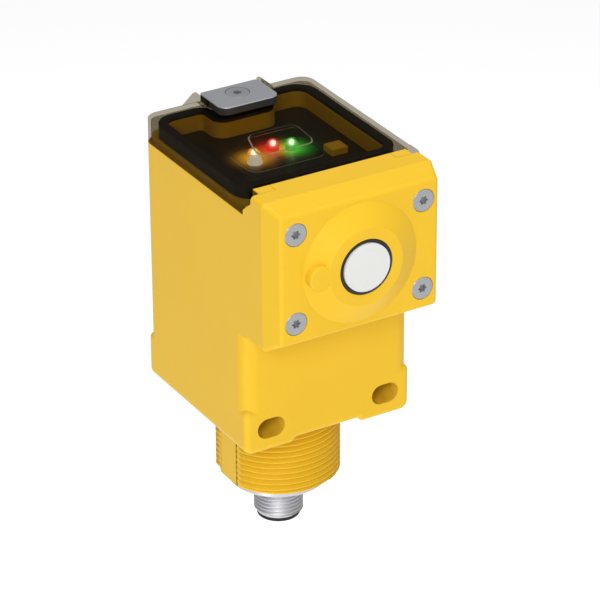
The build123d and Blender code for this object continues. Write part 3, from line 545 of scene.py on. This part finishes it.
def lamp_post(material):
    """White post in front of the amber lamp; it glows with painted light standing in for the amber lamp's
    light on it.
    """
    deselect()
    x, y = POST_PLACE
    bpy.ops.mesh.primitive_cone_add(
        vertices=96,
        radius1=POST_BASE * MM,
        radius2=POST_TOP * MM,
        depth=POST_HEIGHT * MM,
        location=(x * MM, y * MM, (PANEL_TOP + POST_HEIGHT / 2) * MM),
    )
    post = bpy.context.object
    edges = post.modifiers.new("edges", "BEVEL")
    edges.width = POST_ROUNDING * MM
    edges.segments = 3
    apply_modifiers(post)
    finish_piece(post, "lamp_post", material, "base", smooth=40)
    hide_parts("signal_lamp")


def lamp_core(lamp):
    """Glowing middle of a lamp, nearly white."""
    deselect()
    x, y = LED_PLACES[lamp]
    bpy.ops.mesh.primitive_uv_sphere_add(
        segments=32,
        ring_count=16,
        radius=CORE_RADIUS * MM,
        location=(x * MM, (y - CORE_FORWARD) * MM, (PANEL_TOP + CORE_HEIGHT) * MM),
    )
    core = bpy.context.object
    with editing(core):
        bpy.ops.transform.resize(value=(1.0, 1.0, CORE_STRETCH))
    material = glowing(f"core_{lamp}", nearly_white(LED_COLOURS[lamp]), WHITE, roughness=0.4, strength=7.0)
    finish_piece(core, f"lamp_core_{lamp}", material, "base", smooth=60)


def area_light(name, place, target, size, power):
    """A round soft light, turned to face a point."""
    data = bpy.data.lights.new(name, "AREA")
    data.shape = "DISK"
    data.size = size
    data.energy = power
    lamp = bpy.data.objects.new(name, data)
    bpy.context.collection.objects.link(lamp)
    lamp.location = place
    lamp.rotation_euler = (Vector(target) - Vector(place)).to_track_quat("-Z", "Y").to_euler()


# Materials of the CAD pieces, by the piece's name or the start of it
yellow = moulded("yellow_case", YELLOW, roughness=0.33)
black_rubber = rubber("black_rubber", RUBBER)
steel = metal("zinc_screw", (0.3, 0.303, 0.315), roughness=0.38, metallic=PLATED_METALLIC)
dark_steel = metal("clamp_screw", (0.24, 0.245, 0.26), roughness=0.34, metallic=PLATED_METALLIC)
nickel = metal("nickel_shell", (0.5, 0.5, 0.52), roughness=0.52, stretch=DRAWN_OUT_ALONG_Z)
flange_nickel = metal("nickel_flange", (0.45, 0.45, 0.47), roughness=0.28, stretch=DRAWN_OUT_ALONG_Z)
brass = metal("brass", (0.7, 0.5, 0.2), roughness=0.3)
black_plastic = moulded("black_plastic", BLACK, roughness=0.35)
clear_plastic = see_through("status_lens", (0.97, 0.97, 0.96), (0.05, 0.05, 0.05), reflection=1.3)
# painted highlight along the lens's edges: a near-white base and much raised mirroring
lens_edge_painted_highlight = see_through("lens_edge_painted_highlight", (0.9, 0.9, 0.88), (0.95, 0.95, 0.92), reflection=16.0)
board_green = circuit_board()
finishes = {
    "housing": yellow,
    "transducer_head": yellow,
    "hinge_cap": yellow,
    "temperature_cap": yellow,
    "head_gasket": black_rubber,
    "cover_gasket": black_rubber,
    "flange_o_ring": black_rubber,
    "transducer_ring": rubber("transducer_ring", (0.011, 0.011, 0.012)),
    "head_screw": steel,
    "clamp_screw": dark_steel,
    "clamp_keeper": steel,
    # painted light on the clamp plate's top and painted shade on its edges
    "clamp_plate": plate_with_painted_light("clamp_plate", (0.275, 0.28, 0.3), (0.045, 0.04, 0.036), roughness=0.38),
    "head_insert": brass,
    "clamp_insert": brass,
    "connector_pin": metal("gold_pin", (0.85, 0.62, 0.25), roughness=0.22),
    "connector_flange": flange_nickel,
    "connector_shell": nickel,
    "connector_insert": moulded("insert_plastic", (0.02, 0.02, 0.021), roughness=0.45),
    "transducer_face": moulded("transducer_face", (0.57, 0.57, 0.555), roughness=0.6, grain=0.02),
    "transducer_can": metal("aluminium_can", (0.7, 0.7, 0.72), roughness=0.35),
    "capacitor": metal("capacitor_can", (0.6, 0.6, 0.62), roughness=0.3),
    "clear_cover": see_through("smoked_window", (0.63, 0.6, 0.54), (0.02, 0.016, 0.008), reflection=0.3),
    "status_lens": clear_plastic,
    "control_panel": painted_glow_panel(),
    "program_button": moulded("program_button", (0.8, 0.48, 0.03), roughness=0.4),
    "indicator_board": board_green,
    "main_board": board_green,
    "lead_wire_brown": moulded("wire_brown", (0.1, 0.04, 0.015), roughness=0.5),
    "lead_wire_white": moulded("wire_white", (0.7, 0.7, 0.68), roughness=0.5),
    "lead_wire_blue": moulded("wire_blue", (0.02, 0.06, 0.35), roughness=0.5),
    "lead_wire_black": moulded("wire_black", (0.015, 0.015, 0.015), roughness=0.5),
    "lead_wire_grey": moulded("wire_grey", (0.22, 0.22, 0.22), roughness=0.5),
    "transducer_lead": moulded("lead_red", (0.35, 0.02, 0.015), roughness=0.5),
    "led_amber": lamp_glass("amber"),
    "led_red": lamp_glass("red"),
    "led_green": lamp_glass("green"),
}
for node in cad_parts:
    chosen = [key for key in finishes if node.startswith(key)]
    material = finishes[max(chosen, key=len)] if chosen else black_plastic
    node_object = bpy.data.objects[node]
    node_object.data.materials.clear()
    node_object.data.materials.append(material)

# Threads of the neck and of the connector's shell
turned_down(
    "housing",
    "threaded_case",
    low=NECK_END - MARGIN,
    high=NECK_TOP + NEAR,
    core=NECK_CORE,
    crest=NECK_CREST,
    material=yellow,
    body="base",
)
neck = thread(
    "neck_thread",
    root=NECK_ROOT,
    crest=NECK_CREST,
    pitch=NECK_PITCH,
    top=NECK_TOP - NECK_BARE_TOP,
    end=NECK_END + NECK_BARE_END,
    flat=NECK_FLAT - FLAT_STEP,
    steps=NECK_STEPS,
    material=yellow,
    body="base",
)
neck_root(yellow)
turned_down(
    "connector_shell",
    "threaded_shell",
    low=SHELL_END + MARGIN,
    high=SHELL_TOP - MARGIN,
    core=SHELL_CORE,
    crest=SHELL_CREST,
    material=nickel,
    body="base",
)
shell_thread = thread(
    "shell_thread",
    root=SHELL_ROOT,
    crest=SHELL_CREST,
    pitch=SHELL_PITCH,
    top=SHELL_TOP,
    end=SHELL_END + SHELL_BARE_END,
    flat=None,
    steps=SHELL_STEPS,
    material=nickel,
    body="base",
)

# What shows on the panel through the window
rounded_lens(clear_plastic, lens_edge_painted_highlight)
# The post is no lamp: its glow is painted light from the amber lamp
post_painted_glow = glowing(
    "lamp_post",
    shade(POST_WHITE, 0.95),
    shade(POST_WHITE, 1.0),
    roughness=0.5,
    strength=1.1,
)
lamp_post(post_painted_glow)
for lamp in LED_PLACES:
    lamp_core(lamp)

# One large pale floor, which fills the camera's view
deselect()
bpy.ops.mesh.primitive_plane_add(size=FLOOR_SIZE, location=(0, 0, FLOOR_HEIGHT))
floor = bpy.context.object
floor.name = "floor"
floor.data.materials.append(floor_paint())

# Soft studio light
area_light("key", place=(-0.62, -0.82, 0.62), target=LIGHT_TARGET, size=0.5, power=7.8)
area_light("glint", place=(-0.2, -1.07, 0.2), target=GLINT_TARGET, size=0.2, power=1.3)
area_light("edge", place=(-0.41, -0.27, -0.2), target=LIGHT_TARGET, size=0.1, power=0.35)
area_light("top", place=(0.1, -0.1, 1.1), target=LIGHT_TARGET, size=0.8, power=8.4)
world = bpy.data.worlds.new("studio")
world.use_nodes = True
world.node_tree.nodes["Background"].inputs["Color"].default_value = WHITE
world.node_tree.nodes["Background"].inputs["Strength"].default_value = WORLD_STRENGTH
bpy.context.scene.world = world
bpy.context.scene.view_settings.view_transform = "Standard"

# Camera at the photograph's angle
back = Vector((
    math.sin(AZIMUTH) * math.cos(ELEVATION),
    -math.cos(AZIMUTH) * math.cos(ELEVATION),
    math.sin(ELEVATION),
))
level = Vector((0, 0, 1)).cross(back).normalized()
rise = back.cross(level)
right = math.cos(ROLL) * level + math.sin(ROLL) * rise
up = -math.sin(ROLL) * level + math.cos(ROLL) * rise
camera_data = bpy.data.cameras.new("camera")
camera_data.sensor_width = SENSOR_WIDTH
camera_data.lens = SENSOR_WIDTH * FOCAL_SHARE
camera_data.clip_end = CAMERA_CLIP_END
camera = bpy.data.objects.new("camera", camera_data)
bpy.context.collection.objects.link(camera)
turn = Matrix((right, up, back)).transposed().to_4x4()
camera.matrix_world = Matrix.Translation(CAMERA_PLACE) @ turn
bpy.context.scene.camera = camera
